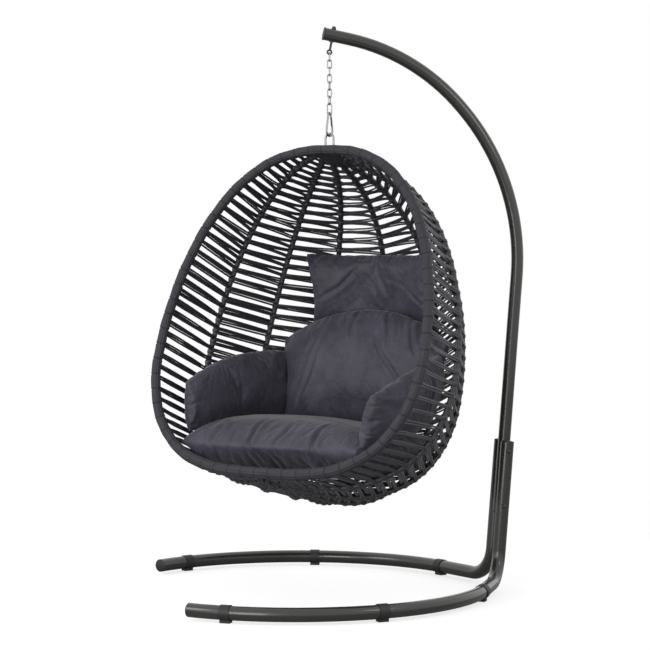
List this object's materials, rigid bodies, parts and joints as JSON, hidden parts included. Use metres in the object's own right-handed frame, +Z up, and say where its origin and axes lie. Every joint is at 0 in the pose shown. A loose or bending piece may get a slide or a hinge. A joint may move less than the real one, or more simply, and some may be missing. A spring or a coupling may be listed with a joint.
{
  "type": "hanging egg chair",
  "caption": "Woven egg-shaped hanging chair with loose cushions, hung by a chain and snap hook from a curved tubular stand on a curved floor base.",
  "frame": {"origin": "middle of the stand's footprint on the floor", "axes": "+Z up; the basket opens towards -Y; +X is the right-hand side seen by someone facing the opening"},
  "size_m": [1.3182, 1.3203, 1.9074],
  "materials": {
    "stand": "dark grey-green powder coat, satin",
    "frame": "near-black powder coat, satin",
    "plug": "black moulded plastic",
    "foot": "black moulded plastic, softer grade",
    "zinc": "bright zinc plate",
    "cord": "near-black resin cord",
    "cloth": "grey-violet satin polyester"
  },
  "bodies": {
    "stand": {"stand_arm": "stand", "right_leg": "stand", "left_leg": "stand", "arm_tip_cap": "plug", "arm_foot_plug": "plug", "stub_caps": "plug", "leg_end_caps": "plug", "right_foot_clips": "foot", "left_foot_clips": "foot", "frame_bolts": "zinc", "frame_washers": "zinc", "frame_nuts": "zinc", "side_screws": "zinc", "eye_bolt": "zinc", "eye_washers": "zinc", "eye_nut": "zinc"},
    "link_1": {"chain_link_1": "zinc"},
    "link_2": {"chain_link_2": "zinc"},
    "link_3": {"chain_link_3": "zinc"},
    "link_4": {"chain_link_4": "zinc"},
    "link_5": {"chain_link_5": "zinc"},
    "link_6": {"chain_link_6": "zinc"},
    "link_7": {"chain_link_7": "zinc"},
    "last_link": {"end_link": "zinc"},
    "hook": {"snap_hook": "zinc", "gate_pin": "zinc"},
    "gate": {"hook_gate": "zinc"},
    "basket": {"hanging_loop": "zinc", "top_plate": "frame", "bottom_plate": "frame", "rim_tube": "frame", "rim_winding": "cord", "rib_1": "frame", "rib_2": "frame", "rib_3": "frame", "rib_4": "frame", "rib_5": "frame", "rib_6": "frame", "rib_7": "frame", "weave_1": "cord", "weave_2": "cord", "weave_3": "cord", "weave_4": "cord", "weave_5": "cord", "weave_6": "cord", "weave_7": "cord", "weave_8": "cord", "seat_cushion": "cloth", "back_cushion": "cloth", "head_pillow": "cloth", "right_arm_cushion": "cloth", "left_arm_cushion": "cloth"}
  },
  "joints": [
    {"name": "swing_side", "type": "hinge", "parent": "stand", "child": "link_1", "pos_m": [0.07795, 0.0752, 1.81263], "axis": [0.7242, 0.6896, 0], "range_deg": [-12, 12]},
    {"name": "swing_fore_aft", "type": "hinge", "parent": "link_1", "child": "link_2", "pos_m": [0.07795, 0.0752, 1.78908], "axis": [-0.6896, 0.7242, 0], "range_deg": [-6, 15]},
    {"name": "twist_1", "type": "hinge", "parent": "link_2", "child": "link_3", "pos_m": [0.07795, 0.0752, 1.76703], "axis": [0, 0, 1], "range_deg": [-12, 7]},
    {"name": "twist_2", "type": "hinge", "parent": "link_3", "child": "link_4", "pos_m": [0.07795, 0.0752, 1.74273], "axis": [0, 0, 1], "range_deg": [-12, 7]},
    {"name": "twist_3", "type": "hinge", "parent": "link_4", "child": "link_5", "pos_m": [0.07795, 0.0752, 1.71843], "axis": [0, 0, 1], "range_deg": [-12, 7]},
    {"name": "twist_4", "type": "hinge", "parent": "link_5", "child": "link_6", "pos_m": [0.07795, 0.0752, 1.69413], "axis": [0, 0, 1], "range_deg": [-12, 7]},
    {"name": "twist_5", "type": "hinge", "parent": "link_6", "child": "link_7", "pos_m": [0.07795, 0.0752, 1.66983], "axis": [0, 0, 1], "range_deg": [-12, 7]},
    {"name": "twist_6", "type": "hinge", "parent": "link_7", "child": "last_link", "pos_m": [0.07795, 0.0752, 1.64553], "axis": [0, 0, 1], "range_deg": [-12, 7]},
    {"name": "basket_swivel", "type": "hinge", "parent": "last_link", "child": "hook", "pos_m": [0.07795, 0.0752, 1.61203], "axis": [0, 0, 1], "range_deg": [-12, 7]},
    {"name": "basket_rock", "type": "hinge", "parent": "hook", "child": "basket", "pos_m": [0.07795, 0.0752, 1.54583], "axis": [1, 0, 0], "range_deg": [-8, 8]},
    {"name": "hook_gate", "type": "hinge", "parent": "hook", "child": "gate", "pos_m": [0.07795, 0.09059, 1.56854], "axis": [1, 0, 0], "range_deg": [0, 22], "stiffness_Nm_per_rad": 0.02, "springref_deg": -20.05}
  ]
}
